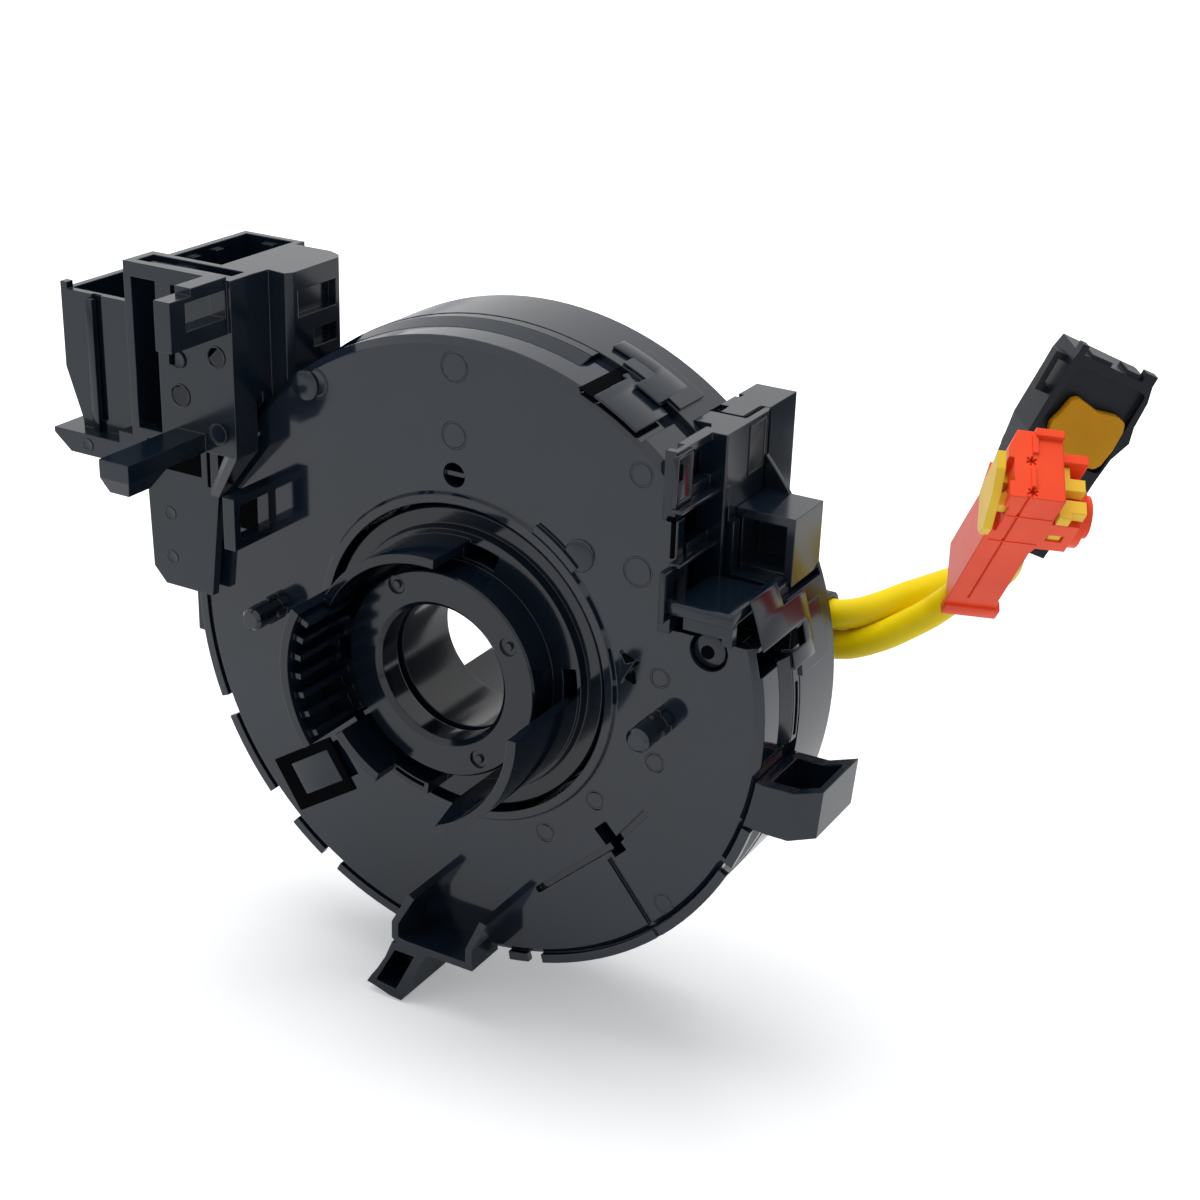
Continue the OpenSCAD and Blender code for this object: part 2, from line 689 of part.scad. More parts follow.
module outer_ribbon_coil() {
    color("#e9e4cf") plate_xz(ribbon_y, ribbon_y + ribbon_w)
        polygon(spiral(outer_coil_r - coil_depth, ribbon_pitch, ribbon_turns, ribbon_t, coil_points));
}

module inner_ribbon_coil() {
    color("#e9e4cf") plate_xz(ribbon_y, ribbon_y + ribbon_w)
        polygon(spiral(inner_coil_r, ribbon_pitch, ribbon_turns, ribbon_t, coil_points));
}

module carrier_ring() {
    // The ring fills the room between the coils, less its gaps
    color("#dcdcd6") {
        spun([[carrier_r - carrier_half, carrier_y], [carrier_r + carrier_half, carrier_y],
            [carrier_r + carrier_half, carrier_y + carrier_t], [carrier_r - carrier_half, carrier_y + carrier_t]]);
        for (a = [0:90:270]) turned(a) rod_y(axle_r, carrier_y + carrier_t - eps, axle_top, carrier_r, 0);
    }
}

module guide_roller(angle) {
    color("#c9c9c2") turned(angle) difference() {
        rod_y(roller_r, carrier_y + carrier_t + slip_gap, axle_top - slip_gap, carrier_r, 0);
        rod_y(axle_r + slip_gap / 2, carrier_y, axle_top + 1, carrier_r, 0);
    }
}

module ribbon_turn() {
    // Half a turn of ribbon round the first roller, with a short straight tail at each coil
    in_r = roller_r + slip_gap;
    tail = 2.5;
    color("#e9e4cf") plate_xz(carrier_y + carrier_t, carrier_y + carrier_t + ribbon_w - 1)
        translate([carrier_r, 0]) {
            intersection() {
                difference() {
                    circle(r = in_r + ribbon_t);
                    circle(r = in_r);
                }
                translate([-in_r - 1, 0]) square([2 * in_r + 2, in_r + 1]);
            }
            for (side = [-1, 1])
                translate([side * (in_r + ribbon_t / 2) - ribbon_t / 2, -tail]) square([ribbon_t, tail + eps]);
        }
}

// Rotor

module rotor_plate() {
    hub_in = ribbon_hub_r - tube_t;
    color("#1f2326") {
        difference() {
            spun([[bore_r, sleeve_y], [sleeve_r, sleeve_y], [sleeve_r, web_y], [tube_r, web_y],
                [tube_r, rotor_y], [ribbon_hub_r, rotor_y], [ribbon_hub_r, plate_y], [plate_r, plate_y],
                [plate_r, case_back], [hub_in, case_back], [hub_in, rotor_y + web_t],
                [tube_r - tube_t, rotor_y + web_t], [tube_r - tube_t, web_y + web_t],
                [bore_r, web_y + web_t]]);
            // Way for the ribbon's end through the hub
            turned(80) box([hub_in - 2, ribbon_y, -1], [ribbon_hub_r + 1, ribbon_y + ribbon_w, 1]);
        }
        // Tongue below the shaft
        arc_wall(bore_r + 1.2, bore_r + 2.6, web_y + web_t - eps, case_back + 3, 225, 315);
        // Lug that drives with the wheel
        difference() {
            box([-5, plate_y + 0.5, -38], [5, case_back + 9, -31]);
            box([-3.2, case_back, -36.4], [3.2, case_back + 10, -32.6]);
        }
    }
}

module cam_wall(r1, t, height, a0, a1) {
    arc_wall(r1 - t, r1, -height, well_y + eps, a0, a1);
}

module cancel_cam() {
    well_r = tube_r - 3.2;
    // Outer radii of the cam's walls, from the tube inwards
    rib_r = tube_r - 3.05;
    hook_r = tube_r - 3.45;
    fin_r = tube_r - 3.75;
    short_r = tube_r - 4.05;
    low_r = tube_r - 4.15;
    rib_depth = 1.8;
    trap_r = opening_r + 2;
    color("#191c1e") difference() {
        union() {
            spun([[bore_r, -boss_h + 0.8], [bore_r + 0.8, -boss_h], [boss_r - 0.3, -boss_h],
                [boss_r, -boss_h + 0.3], [boss_r, well_y], [well_r, well_y], [well_r + 0.3, 0.3],
                [tube_r - 0.4, 0.3], [tube_r, 0.7], [tube_r, web_y - 1.6], [trap_r, web_y - 1.6],
                [trap_r, web_y], [tube_r - tube_t, web_y], [tube_r - tube_t, 2.3],
                [well_r - 1.4, 1.2], [sleeve_r + slip_gap, 1.2], [sleeve_r + slip_gap, sleeve_y - bore_gap],
                [bore_r, sleeve_y - bore_gap]]);
            // Low wall at the upper left
            cam_wall(low_r, cam_t, low_wall_h, 85, 153.5);
            // Ribbed wall at the left
            cam_wall(rib_r, cam_t, rib_wall_h, 152, 216);
            for (i = [0:rib_count - 1]) turned(156 + i * 56 / (rib_count - 1))
                box([rib_r - cam_t - rib_depth, -rib_wall_h + 1, -0.5], [rib_r - 0.5, well_y + eps, 0.5]);
            // Short wall at the lower left
            cam_wall(short_r, cam_t + 0.3, 12, 218, 245);
            cam_wall(hook_r, cam_t + 0.5, boss_h, 244, 264);
            // Fin at the lower right with its slanting end
            cam_wall(fin_r, cam_t + 0.1, fin_h, -67, -1);
            hull() {
                turned(-66) box([fin_r + 0.1 - cam_t, 0.1 - fin_h, -1], [fin_r - 0.2, well_y, 0]);
                turned(-76) box([fin_r + 0.1 - cam_t, -9, -0.5], [fin_r - 0.2, well_y, 0.5]);
            }
            // Step that joins the boss to the ribbed wall
            arc_wall(boss_r - 0.5, rib_r - cam_t / 2, -5.6, well_y + eps, 165, 214);
        }
        // Windows in the well
        arc_wall(well_r - 4.25, well_r - 1.55, -3, 3, 70, 88);
        arc_wall(well_r - 3.15, well_r - 0.75, -3, 3, -4, 11);
        arc_wall(well_r - 4.25, well_r - 1.95, -8, 3, 176, 188);
        // Gate marks
        for (g = [[-8.2, 13.5], [12.6, 8], [7.4, -13]])
            plate_xz(-boss_h - 1, -boss_h + 0.4) translate(g) difference() {
                circle(r = 1.5);
                circle(r = 0.7);
            }
        // Slot of the snap hook
        arc_wall(hook_r - 1.7, hook_r - 1, -boss_h - 1, -3, 246, 262);
    }
}

module rotor_terminal_block() {
    hub_in = ribbon_hub_r - tube_t;
    color("#2d3033") arc_wall(sleeve_r + 3, tube_r - tube_t - slip_gap, web_y + web_t, case_back - 4, 60, 110);
}

module switch_socket() {
    color("#23272b") difference() {
        box([socket_x, case_back, socket_z], [socket_x + socket_w, socket_y, socket_z + socket_h]);
        box([socket_x + socket_t, case_back + 4, socket_z + socket_t],
            [socket_x + socket_w - socket_t, socket_y + 1, socket_z + socket_h - socket_t]);
        box([socket_x + 8, case_back + 8, socket_z - 1], [socket_x + 12, socket_y + 1, socket_z + 3]);
    }
}

module switch_socket_pins() {
    columns = 5;
    color("#c8a24a") for (i = [0:columns - 1]) for (j = [0:1])
        translate([socket_x + (socket_w - (columns - 1) * contact_pitch - contact_w) / 2 + i * contact_pitch,
            case_back + 4, socket_z + (socket_h - contact_pitch - contact_w) / 2 + j * contact_pitch])
            cube([contact_w, contact_len - 2, contact_w]);
}

module lead_outlet() {
    color("#23272b") at_wheel() {
        box([17, drawn_back, -9], [outlet_x - 3, outlet_y + eps, 11]);
        box([17, outlet_y, -9], [outlet_x - 3, outlet_top, 13]);
        box([outlet_x - 3 - eps, outlet_y, -5.5], [outlet_x, outlet_top, 9.5]);
    }
}

module lead_grommet() {
    color("#3d4245") at_wheel() difference() {
        hull() for (z = [orange_route[0][2], black_route[0][2]]) translate([outlet_x, outlet_mid, z])
            rotate([0, 90, 0]) cylinder(r = lead_r + 1, h = grommet_len, $fn = 32);
        for (z = [orange_route[0][2], black_route[0][2]]) translate([outlet_x - 1, outlet_mid, z])
            rotate([0, 90, 0]) cylinder(r = lead_r + 0.1, h = grommet_len + 2);
    }
}

// Leads

function unit(v) = v / norm(v);
// A smooth point between the hand-set ones
function bend_point(p, i, t) = let(n = len(p) - 1, a = p[max(i - 1, 0)], b = p[i], c = p[i + 1],
    d = p[min(i + 2, n)]) 0.5 * (2 * b + (c - a) * t + (2 * a - 5 * b + 4 * c - d) * t * t
    + (3 * b - a - 3 * c + d) * t * t * t);
function smooth(p, k) = concat([for (i = [0:len(p) - 2]) for (j = [0:k - 1]) bend_point(p, i, j / k)],
    [p[len(p) - 1]]);
function heading(p, i) = unit(p[min(i + 1, len(p) - 1)] - p[max(i - 1, 0)]);
function ring_at(p, i, r, n) = let(h = heading(p, i), s = unit(cross(h, lead_ref)), u = cross(s, h))
    [for (k = [0:n - 1]) p[i] + r * (cos(360 * k / n) * s + sin(360 * k / n) * u)];

// A round tube along a route
module lead_tube(route, r) {
    path = smooth(route, 2);
    rings = len(path);
    n = lead_sides;
    polyhedron(points = [for (i = [0:rings - 1]) each ring_at(path, i, r, n)],
        faces = concat([[for (k = [n - 1:-1:0]) k]], [[for (k = [0:n - 1]) (rings - 1) * n + k]],
            [for (i = [0:rings - 2]) for (k = [0:n - 1])
                [i * n + k, i * n + (k + 1) % n, (i + 1) * n + (k + 1) % n, (i + 1) * n + k]]));
}

module orange_lead() {
    color("#e6d80c") at_wheel() lead_tube(orange_route, lead_r);
}

module black_lead() {
    color("#e6d80c") at_wheel() lead_tube(black_route, lead_r);
}

// Places a connector drawn with its width along X, depth along Y and cable end at z = 0
module connector_place(at, turn) {
    at_wheel() translate(at) rotate(turn) children();
}

module prong_channels(gap) {
    for (y = prong_y)
        box([seat_x - 1, y - gap, prong_z - gap], [orange_w, y + prong_w + gap, prong_z + prong_h + gap]);
}

module orange_lock_plate() {
    polygon([[6.6, orange_len + 1.5], [5.3, orange_len - 8], [-0.2, orange_len - 9.8],
        [-1.6, orange_len - 9], [-1.9, orange_len - 6.8], [1.2, orange_len - 1.8], [4, orange_len + 0.8]]);
}

module orange_connector() {
    half = orange_w / 2;
    right = half + 0.3;
    key_h = 0.4;
    color("#ee5a33") connector_place(orange_at, orange_turn) difference() {
        union() {
            intersection() {
                // Front outline
                plate_xz(-1, 13) polygon([[-half, -3], [half - 0.6, -3], [half, -2.4], [half, 0.8],
                    [half - 0.35, 2], [half - 0.35, 17.6], [right, 20.4], [right, orange_len + 1],
                    [0.4 - half, orange_len + 1], [0.4 - half, 26], [-half, 20]]);
                // Side outline with the lip at the cable end
                plate_yz(-half - 1, right + 1) polygon([[0, -2.4], [0.9, -2.4], [0.9, 0.2], [8.8, 3.5],
                    [8.4, 19.5], [11.6, 25], [11.6, orange_len], [0, orange_len]]);
            }
            // Bar across the back of the top end
            box([0.3, 10.6, orange_len - 4], [right + 0.1, 11.9, orange_len + 0.7]);
            // Key blocks on the top end
            box([-0.2, 7.7, orange_len - 1], [0.7, 10.8, orange_len + key_h]);
            box([-0.6, 1.7, orange_len - 1], [0.2, 5.1, orange_len + key_h]);
            // Nose that plugs into the airbag, between its two side walls
            translate([0, nose_at[0], nose_at[1]]) rotate([0, 90, 0]) cylinder(r = nose_r, h = 10.2);
            translate([0, nose_at[0], nose_at[1]]) rotate([0, 90, 0]) cylinder(r = nose_r - 1.6, h = 11.6);
            box([half - 1, 0, orange_len - 14], [8.8, 1.5, orange_len - 6.6]);
            box([half - 1, 8.8, orange_len - 14], [9.4, 10.4, orange_len - 3]);
        }
        prong_channels(slip_gap);
        // Seat of the lock's plate
        plate_yz(-half - 1, seat_x) offset(delta = slip_gap) orange_lock_plate();
        // Chamfer at the back left of the top end
        plate_xy(orange_len - 9, orange_len + 1) polygon([[-half - 1, 7], [0.1 - half, 7.7], [-2.3, 11.7],
            [-2.3, 13], [-half - 1, 13]]);
        // Seam down the front
        box([-1.3, -1, 2], [-0.9, 0.3, orange_len + 1]);
        // Stars between the key blocks
        for (y = [6.4, 1]) for (a = [20, 80, 140]) translate([-0.4, y, orange_len]) rotate([0, 0, a])
            cube([1.7, 0.3, 1.4], center = true);
        // Window at the nose
        box([half + 0.7, -1, orange_len - 11.4], [7.4, 1, orange_len - 9.6]);
    }
}

module orange_lock() {
    plate_x = seat_x - slip_gap - lock_travel;
    hook_x = orange_w / 2 + 0.6;
    prong_top = prong_z + prong_h;
    color("#ecc63c") connector_place(orange_at, orange_turn) {
        // Plate that stands off the left side by its travel
        plate_yz(plate_x - 1.3, plate_x) orange_lock_plate();
        // Two prongs through the body, with a hook outward on each
        for (y = prong_y) box([plate_x - eps, y, prong_z], [prong_end, y + prong_w, prong_top]);
        box([hook_x, prong_y[0] - 1.1, prong_z], [hook_x + 1.9, prong_y[0] + eps, prong_top]);
        box([hook_x, prong_y[1] + prong_w - eps, prong_z], [hook_x + 1.9, prong_y[1] + prong_w + 1.9, prong_top]);
    }
}

module black_connector() {
    half = black_w / 2;
    color("#202427") connector_place(black_at, black_turn) difference() {
        union() {
            plate_xz(0, 9) polygon([[-3, 0], [half, 0], [half + 0.7, 16.4], [half + 1.1, 20.9],
                [half + 2.5, 24.7], [half + 1.7, 27.6], [half + 1.5, 32.3], [half + 0.7, black_len - 0.8],
                [0.7 - half, black_len - 0.4], [0.2 - half, black_len - 3], [-half, 20], [1.5 - half, 10]]);
            // Ears at the top corners
            box([0.7 - half, 0, black_len - 1.5], [1.9 - half, 2, black_len + 1.2]);
            box([half - 1.5, 0, black_len - 1.5], [half + 0.7, 2, black_len + 1]);
            // Low blocks along the top edge
            box([half - 4.5, 0.6, black_len - 1.5], [half - 1.8, 5, black_len + 0.1]);
            box([3.4 - half, 0.6, black_len - 1.5], [7.4 - half, 5, black_len + 0.1]);
            // Nose that plugs into the airbag
            translate([0.5, 8, black_nose_z]) rotate([-90, 0, 0]) cylinder(r = 5, h = 6);
            translate([0.5, 8, black_nose_z]) rotate([-90, 0, 0]) cylinder(r = 4, h = 8);
            // Loop at the left side
            difference() {
                box([-half - 2, 2, black_len - 9.4], [0.4 - half, 4.4, black_len - 2]);
                box([-half - 1, 1, black_len - 8.2], [0.2 - half, 5.4, black_len - 3.2]);
            }
        }
        // Recessed front with the seat of the lock
        plate_xz(-1, 1.2) offset(r = 1, $fn = 24) offset(delta = -1) polygon([[2 - half, black_len - 2.4],
            [half + 0.5, black_len - 2.4], [half + 0.5, 17.6], [-half + 0.8, 17.6]]);
    }
}

module black_lock() {
    // Cover with a waved outline
    color("#c08a1e") connector_place(black_at, black_turn) plate_xz(-0.6, 1.2 - slip_gap)
        offset(r = 1.2, $fn = 24) offset(delta = -1.2)
            polygon([[-2.8, 28.7], [1.7, 27.7], [5.2, 28.3], [7, 27.9], [7.6, 26.2], [7.7, 22.6], [7.2, 19.4],
                [6.4, 18.3], [2.9, 18.1], [0.1, 18.6], [-4.5, 21.5], [-4.9, 23], [-4.2, 25.2], [-3.7, 27.8]]);
}

column_cover();
drum_case();
switch_bracket();
connector_housing();
hook_tray();
main_socket_pins();
side_socket_pins();
terminal_plate();
stator_terminal_block();
case_glide_sheet();
outer_ribbon_coil();
carrier_ring();
guide_roller(0);  // guide_roller_1
guide_roller(90);  // guide_roller_2
guide_roller(180);  // guide_roller_3
guide_roller(270);  // guide_roller_4
ribbon_turn();
inner_ribbon_coil();
rotor_plate();
rotor_glide_sheet();
cancel_cam();
rotor_terminal_block();
switch_socket();
switch_socket_pins();
lead_outlet();
lead_grommet();
orange_lead();
black_lead();
orange_connector();
orange_lock();
black_connector();
black_lock();
loop_clip();
side_block();
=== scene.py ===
import math

import bmesh
import bpy
from mathutils import Euler, Matrix, Vector


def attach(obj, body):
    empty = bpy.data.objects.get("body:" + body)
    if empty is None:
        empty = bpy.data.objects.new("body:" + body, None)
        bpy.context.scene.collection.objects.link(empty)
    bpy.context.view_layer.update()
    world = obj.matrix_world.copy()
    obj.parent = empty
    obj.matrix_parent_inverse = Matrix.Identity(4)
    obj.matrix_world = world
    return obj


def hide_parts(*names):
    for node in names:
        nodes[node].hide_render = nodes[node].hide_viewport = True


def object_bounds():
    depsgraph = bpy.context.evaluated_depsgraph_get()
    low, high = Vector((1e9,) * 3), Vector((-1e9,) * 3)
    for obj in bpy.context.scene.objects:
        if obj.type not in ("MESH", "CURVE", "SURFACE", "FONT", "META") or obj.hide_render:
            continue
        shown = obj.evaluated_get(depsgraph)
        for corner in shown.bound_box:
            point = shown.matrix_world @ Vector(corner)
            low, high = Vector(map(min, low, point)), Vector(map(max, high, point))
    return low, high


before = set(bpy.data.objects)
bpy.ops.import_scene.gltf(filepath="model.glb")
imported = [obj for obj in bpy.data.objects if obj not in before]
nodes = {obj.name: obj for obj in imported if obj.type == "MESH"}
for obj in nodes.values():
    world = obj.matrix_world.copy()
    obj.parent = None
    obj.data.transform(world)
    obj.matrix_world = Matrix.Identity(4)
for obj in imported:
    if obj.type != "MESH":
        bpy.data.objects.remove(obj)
cad_box = [list(corner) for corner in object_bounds()]
mm = 0.001

# Camera. It stands to the right of the drum and above it, and looks down at the column face,
# with the long lens that the photograph was solved for.
camera = bpy.data.objects.new("camera", bpy.data.cameras.new("camera"))
bpy.context.collection.objects.link(camera)
camera.data.sensor_width = 36
camera.data.lens = 63.239
camera.data.clip_start = 0.01
camera_at = Vector((0.167892, -0.257327, 0.144930))
camera_right = Vector((0.866736, 0.497809, 0.030884))
camera_up = Vector((-0.223892, 0.332992, 0.915963))
camera_back = Vector((0.445691, -0.800813, 0.400072))
camera_turn = Matrix((camera_right, camera_up, camera_back)).transposed()
camera.matrix_world = Matrix.Translation(camera_at) @ camera_turn.to_4x4()
bpy.context.scene.camera = camera


# Airbag leads. Two smooth bright yellow sleeves of soft plastic, each round thin wires for the
# airbag. They leave the grommet side by side and curve up into their connectors.
def moulded_skin():
    """A skin for plastics: cloudy colour, fine grain and a roughness that varies a little."""
    skin_tree = bpy.data.node_groups.new("moulded_skin", "ShaderNodeTree")
    for name, kind in (("Vector", "NodeSocketVector"), ("Base", "NodeSocketColor"),
                       ("Cloudy", "NodeSocketColor"), ("Roughness", "NodeSocketFloat"),
                       ("Cloud Scale", "NodeSocketFloat"), ("Grain Scale", "NodeSocketFloat")):
        skin_tree.interface.new_socket(name, in_out="INPUT", socket_type=kind)
    for name, kind in (("Color", "NodeSocketColor"), ("Roughness", "NodeSocketFloat"),
                       ("Height", "NodeSocketFloat")):
        skin_tree.interface.new_socket(name, in_out="OUTPUT", socket_type=kind)
    enter = skin_tree.nodes.new("NodeGroupInput")
    leave = skin_tree.nodes.new("NodeGroupOutput")
    cloud = skin_tree.nodes.new("ShaderNodeTexNoise")
    cloud.inputs["Detail"].default_value = 4
    fine = skin_tree.nodes.new("ShaderNodeTexNoise")
    fine.inputs["Detail"].default_value = 2
    mix = skin_tree.nodes.new("ShaderNodeMix")
    mix.data_type = "RGBA"
    span = skin_tree.nodes.new("ShaderNodeMapRange")
    span.inputs["From Min"].default_value = 0.35
    span.inputs["From Max"].default_value = 0.7
    cloud_roughness = 0.08
    rough = skin_tree.nodes.new("ShaderNodeMath")
    rough.operation = "MULTIPLY_ADD"
    rough.inputs[1].default_value = cloud_roughness
    link = skin_tree.links.new
    link(enter.outputs["Vector"], cloud.inputs["Vector"])
    link(enter.outputs["Vector"], fine.inputs["Vector"])
    link(enter.outputs["Cloud Scale"], cloud.inputs["Scale"])
    link(enter.outputs["Grain Scale"], fine.inputs["Scale"])
    link(cloud.outputs["Fac"], span.inputs["Value"])
    link(span.outputs["Result"], mix.inputs["Factor"])
    link(enter.outputs["Base"], mix.inputs["A"])
    link(enter.outputs["Cloudy"], mix.inputs["B"])
    link(cloud.outputs["Fac"], rough.inputs[0])
    link(enter.outputs["Roughness"], rough.inputs[2])
    link(mix.outputs["Result"], leave.inputs["Color"])
    link(rough.outputs["Value"], leave.inputs["Roughness"])
    link(fine.outputs["Fac"], leave.inputs["Height"])
    return skin_tree


skin = moulded_skin()
grain_depth = 0.1 * mm


def plastic(name, base, cloudy, roughness, grain=0.05, edge=0.25, clouds=90, grains=2600,
            specular=0.5):
    """A moulded plastic with softly rounded edges. base and cloudy are its two colours, grain
    is how strong its grain is, edge is the radius of its edges in millimetres, and clouds and
    grains are the scales of the two patterns."""
    made = bpy.data.materials.new(name)
    made.use_nodes = True
    made_nodes = made.node_tree.nodes
    shader = made_nodes["Principled BSDF"]
    place = made_nodes.new("ShaderNodeTexCoord")
    mould = made_nodes.new("ShaderNodeGroup")
    mould.node_tree = skin
    mould.inputs["Base"].default_value = (*base, 1)
    mould.inputs["Cloudy"].default_value = (*cloudy, 1)
    mould.inputs["Roughness"].default_value = roughness
    mould.inputs["Cloud Scale"].default_value = clouds
    mould.inputs["Grain Scale"].default_value = grains
    bump = made_nodes.new("ShaderNodeBump")
    bump.inputs["Strength"].default_value = grain
    bump.inputs["Distance"].default_value = grain_depth
    rim = made_nodes.new("ShaderNodeBevel")
    rim.samples = 6
    rim.inputs["Radius"].default_value = edge * mm
    link = made.node_tree.links.new
    link(place.outputs["Object"], mould.inputs["Vector"])
    link(mould.outputs["Color"], shader.inputs["Base Color"])
    link(mould.outputs["Roughness"], shader.inputs["Roughness"])
    link(mould.outputs["Height"], bump.inputs["Height"])
    link(rim.outputs["Normal"], bump.inputs["Normal"])
    link(bump.outputs["Normal"], shader.inputs["Normal"])
    shader.inputs["IOR"].default_value = 1.5
    shader.inputs["Specular IOR Level"].default_value = specular
    return made


def dress(piece, material):
    """Gives a piece its only material."""
    slots = piece.data.materials
    slots.clear()
    slots.append(material)


yellow_sleeve = plastic("yellow_sleeve", (0.92, 0.7, 0.0), (0.8, 0.58, 0.0), 0.38,
                        grain=0.12, edge=0.1, clouds=60, grains=900, specular=0.25)
lead_d = 5
# Given points in millimetres, from inside the grommet to inside the connector
lead_routes = {
    "orange": [(44, 40, -0.7), (46.1, 40, -0.8), (48.1, 40.1, -0.5), (50.1, 40.4, 0),
               (52, 40.7, 0.8), (53.8, 41.1, 1.7), (55.6, 41.6, 2.7), (57.4, 42.2, 3.9),
               (59.1, 42.8, 5.1), (60.7, 43.3, 6.3), (62.3, 43.9, 7.6), (63.7, 44.2, 9),
               (65.1, 44.5, 10.4), (66.3, 44.5, 11.9), (67.4, 44.2, 13.4), (68.3, 43.6, 15.1),
               (69.1, 42.7, 16.8)],
    "black": [(44, 40, 4.8), (47.3, 40.3, 4.7), (50.3, 41.7, 5.2), (53.2, 44, 6.2),
              (56.2, 47, 7.5), (59, 50.3, 8.4), (61.5, 54, 9), (63.3, 58, 8.9), (64.5, 62.2, 8.1),
              (65, 66.3, 7), (64.9, 70.2, 6.1), (64.5, 73.7, 5.9), (64.1, 76.6, 7),
              (64.1, 78.6, 9.2), (64.6, 79.9, 11.8)]}
# Metres along each route
for colour, route in lead_routes.items():
    line = bpy.data.curves.new(colour + "_sleeve", "CURVE")
    line.dimensions = "3D"
    line.bevel_depth = lead_d / 2 * mm
    line.bevel_resolution = 8
    line.resolution_u = 8
    line.use_fill_caps = True
    spline = line.splines.new("BEZIER")
    spline.bezier_points.add(len(route) - 1)
    points = [Vector(p) * mm for p in route]
    for i, point in enumerate(spline.bezier_points):
        before = points[max(i - 1, 0)]
        after = points[min(i + 1, len(points) - 1)]
        # Both handles lie along the line between the neighbours, for a smooth run
        handle = (after - before) / 6
        point.co = points[i]
        point.handle_left_type = point.handle_right_type = "FREE"
        point.handle_left = points[i] - handle
        point.handle_right = points[i] + handle
    sleeve = bpy.data.objects.new(colour + "_sleeve", line)
    bpy.context.collection.objects.link(sleeve)
    dress(sleeve, yellow_sleeve)
    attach(sleeve, "rotor")
    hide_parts(colour + "_lead")

# Floor. A plain pale board just below the part's lowest point. It is brightened where the
# camera sees it, more so far from the part, and keeps the part's soft shadow.
floor_gap = 0.4 * mm
bpy.ops.mesh.primitive_plane_add(size=8, location=(0, 0, cad_box[0][2] - floor_gap))
floor = bpy.context.object
floor.name = "floor"
floor_paint = bpy.data.materials.new("floor_paint")
floor_paint.use_nodes = True
floor_nodes = floor_paint.node_tree.nodes
board = floor_nodes["Principled BSDF"]
board.inputs["Base Color"].default_value = (0.9, 0.9, 0.9, 1)
board.inputs["Roughness"].default_value = 0.9
board.inputs["Specular IOR Level"].default_value = 0.1
board.inputs["Emission Color"].default_value = (1, 1, 1, 1)
floor_ray = floor_nodes.new("ShaderNodeLightPath")
floor_place = floor_nodes.new("ShaderNodeTexCoord")
distance = floor_nodes.new("ShaderNodeVectorMath")
distance.operation = "LENGTH"
fade = floor_nodes.new("ShaderNodeMapRange")
fade.inputs["From Min"].default_value = 0.1
fade.inputs["From Max"].default_value = 0.7
fade.inputs["To Min"].default_value = 0.3
fade.inputs["To Max"].default_value = 0.9
glow = floor_nodes.new("ShaderNodeMath")
glow.operation = "MULTIPLY"
floor_link = floor_paint.node_tree.links.new
floor_link(floor_place.outputs["Object"], distance.inputs[0])
floor_link(distance.outputs["Value"], fade.inputs["Value"])
floor_link(floor_ray.outputs["Is Camera Ray"], glow.inputs[0])
floor_link(fade.outputs["Result"], glow.inputs[1])
floor_link(glow.outputs["Value"], board.inputs["Emission Strength"])
floor.data.materials.append(floor_paint)

# Studio light. One large soft lamp hangs above the part, a smaller one stands at the left in
# front of the face, and a pale room is all round. Glossy surfaces mirror a white room.
for name, at, width, watts in (("top_lamp", (-0.15, 0.15, 1.0), 1.0, 11.5),
                               ("front_lamp", (-0.5, -0.9, 0.45), 0.7, 1.6)):
    lamp = bpy.data.objects.new(name, bpy.data.lights.new(name, "AREA"))
    bpy.context.collection.objects.link(lamp)
    lamp.data.size = width
    lamp.data.energy = watts
    lamp.location = at
    lamp.rotation_euler = (-Vector(at)).to_track_quat("-Z", "Y").to_euler()
    lamp.visible_glossy = False
room = bpy.data.worlds.new("room")
bpy.context.scene.world = room
room.use_nodes = True
room_nodes = room.node_tree.nodes
air = room_nodes["Background"]
air.inputs["Color"].default_value = (0.88, 0.94, 1, 1)
air.inputs["Strength"].default_value = 0.42
white = room_nodes.new("ShaderNodeBackground")
white.inputs["Color"].default_value = (1, 1, 1, 1)
room_ray = room_nodes.new("ShaderNodeLightPath")
seen_or_mirrored = room_nodes.new("ShaderNodeMath")
seen_or_mirrored.operation = "MAXIMUM"
or_through_glass = room_nodes.new("ShaderNodeMath")
or_through_glass.operation = "MAXIMUM"
blend = room_nodes.new("ShaderNodeMixShader")
room_link = room.node_tree.links.new
room_link(room_ray.outputs["Is Camera Ray"], seen_or_mirrored.inputs[0])
room_link(room_ray.outputs["Is Glossy Ray"], seen_or_mirrored.inputs[1])
room_link(seen_or_mirrored.outputs["Value"], or_through_glass.inputs[0])
room_link(room_ray.outputs["Is Transmission Ray"], or_through_glass.inputs[1])
room_link(or_through_glass.outputs["Value"], blend.inputs["Fac"])
room_link(air.outputs["Background"], blend.inputs[1])
room_link(white.outputs["Background"], blend.inputs[2])
room_link(blend.outputs["Shader"], room_nodes["World Output"].inputs["Surface"])
bpy.context.scene.view_settings.view_transform = "Standard"

# Drum, sockets, bracket and tray. Black plastic mouldings with a blue-grey cast and a satin
# gloss. No screws show, and the mouldings snap together.
graphite = plastic("graphite_plastic", (0.0055, 0.0105, 0.019), (0.004, 0.0085, 0.0155), 0.13,
                   grain=0.03)
for name in ("drum_case", "switch_bracket", "connector_housing", "hook_tray", "loop_clip",
             "side_block", "terminal_plate", "stator_terminal_block", "rotor_plate",
             "rotor_terminal_block", "switch_socket", "lead_outlet"):
    dress(nodes[name], graphite)
matt = plastic("matt_black_plastic", (0.005, 0.008, 0.013), (0.004, 0.006, 0.01), 0.35,
               specular=0.25)
dress(nodes["black_connector"], matt)

